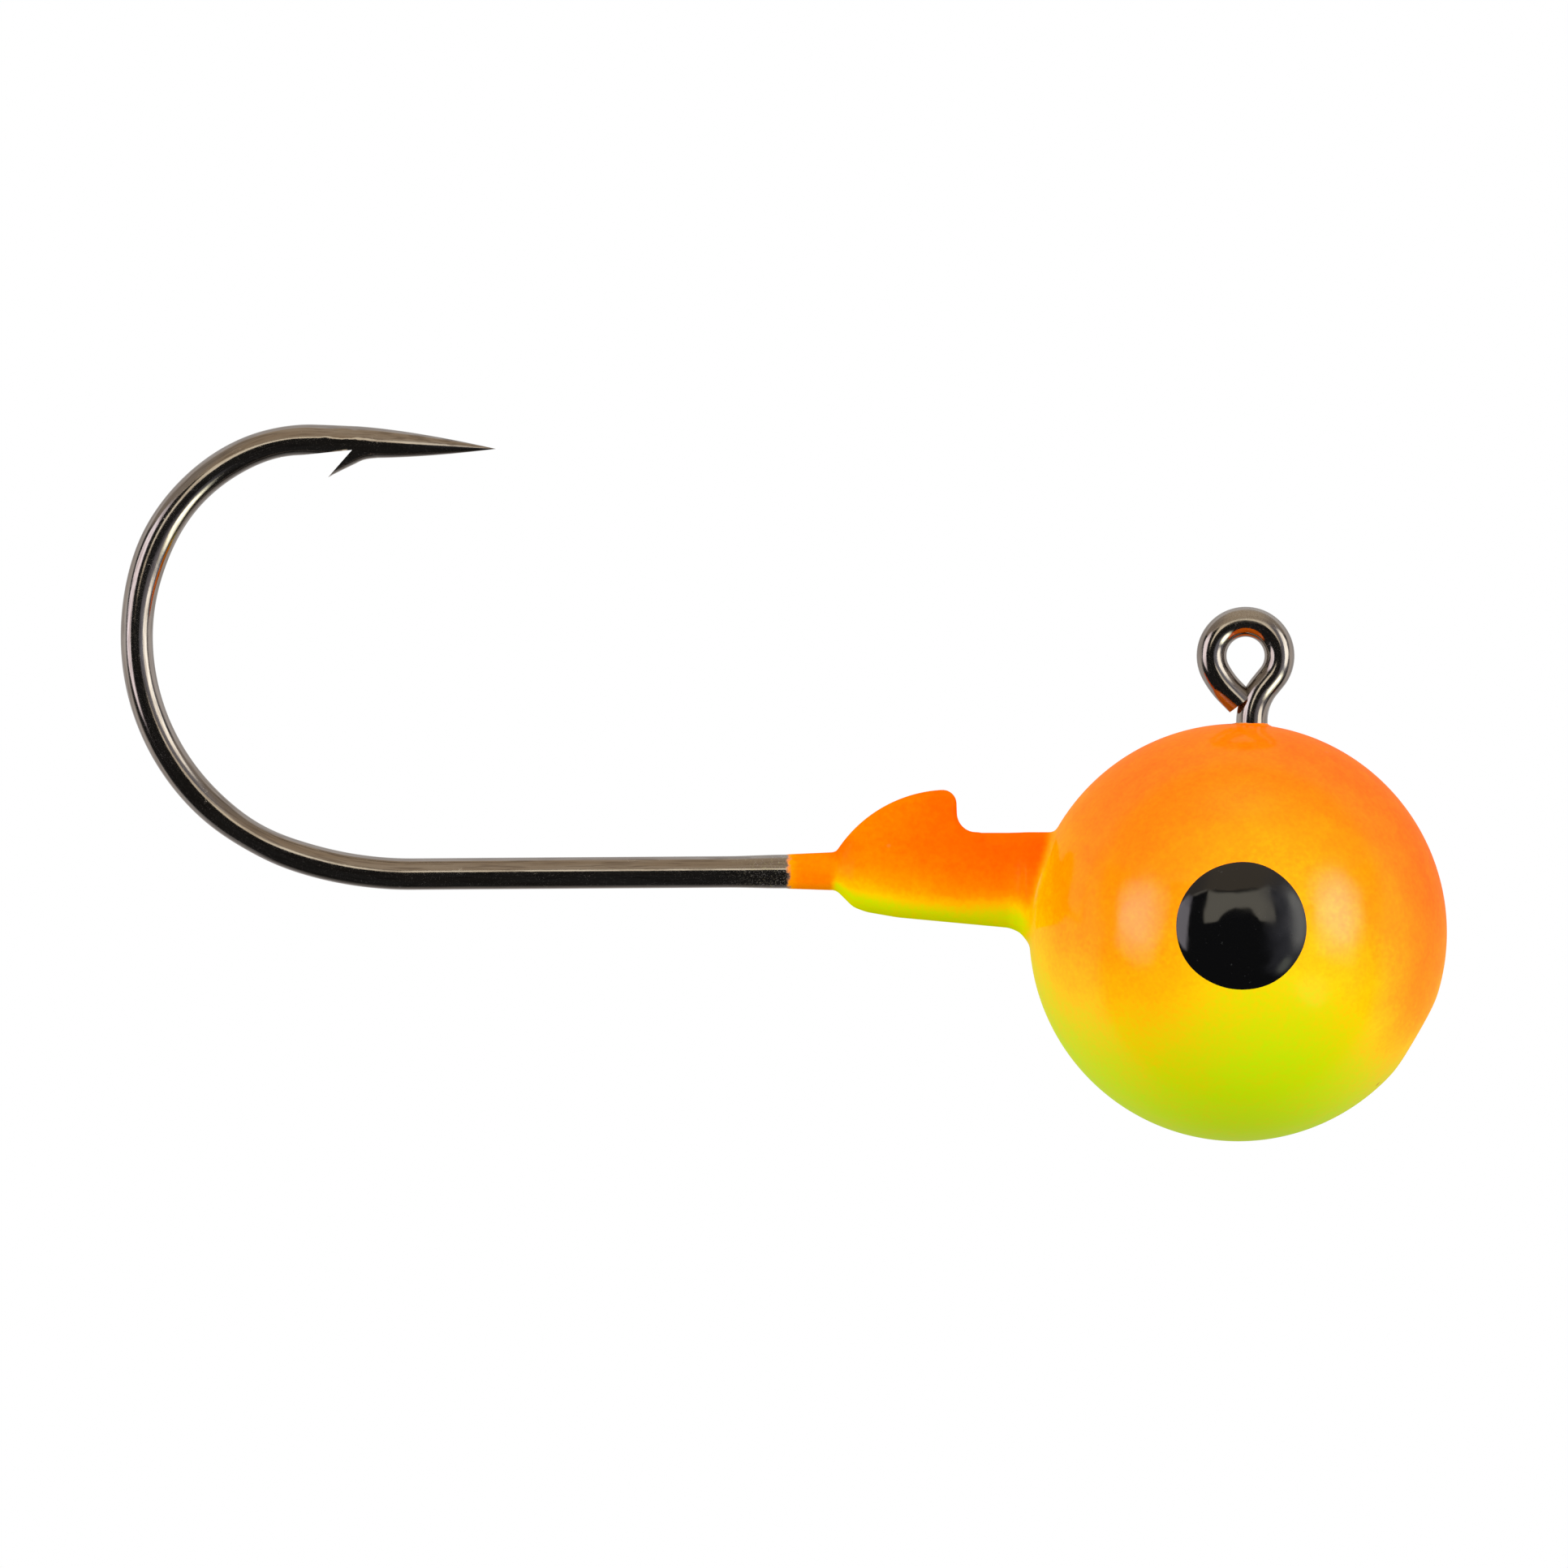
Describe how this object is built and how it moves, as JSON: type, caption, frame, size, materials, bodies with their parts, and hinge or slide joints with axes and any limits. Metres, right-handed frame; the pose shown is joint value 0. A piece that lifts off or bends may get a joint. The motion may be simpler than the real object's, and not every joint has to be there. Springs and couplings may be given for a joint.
{
  "type": "jig head",
  "caption": "Round lead jig head on a ninety-degree barbed hook, with a finned bait-keeper collar, orange and lime paint and a black eye on each side.",
  "frame": {"origin": "centre of the line-tie ring", "axes": "+Z is the pull of the line, away from the lead ball; the hook lies in the XZ plane with its bend towards -X; +Y is across the hook"},
  "size_m": [0.042, 0.0136, 0.0227],
  "materials": {
    "black_nickel": "polished",
    "lead": "matte",
    "paint": "gloss",
    "black_enamel": "gloss"
  },
  "bodies": {
    "root": {"hook": "black_nickel", "lead_head": "lead", "paint_coat": "paint", "eye_left": "black_enamel", "eye_right": "black_enamel"}
  },
  "joints": []
}
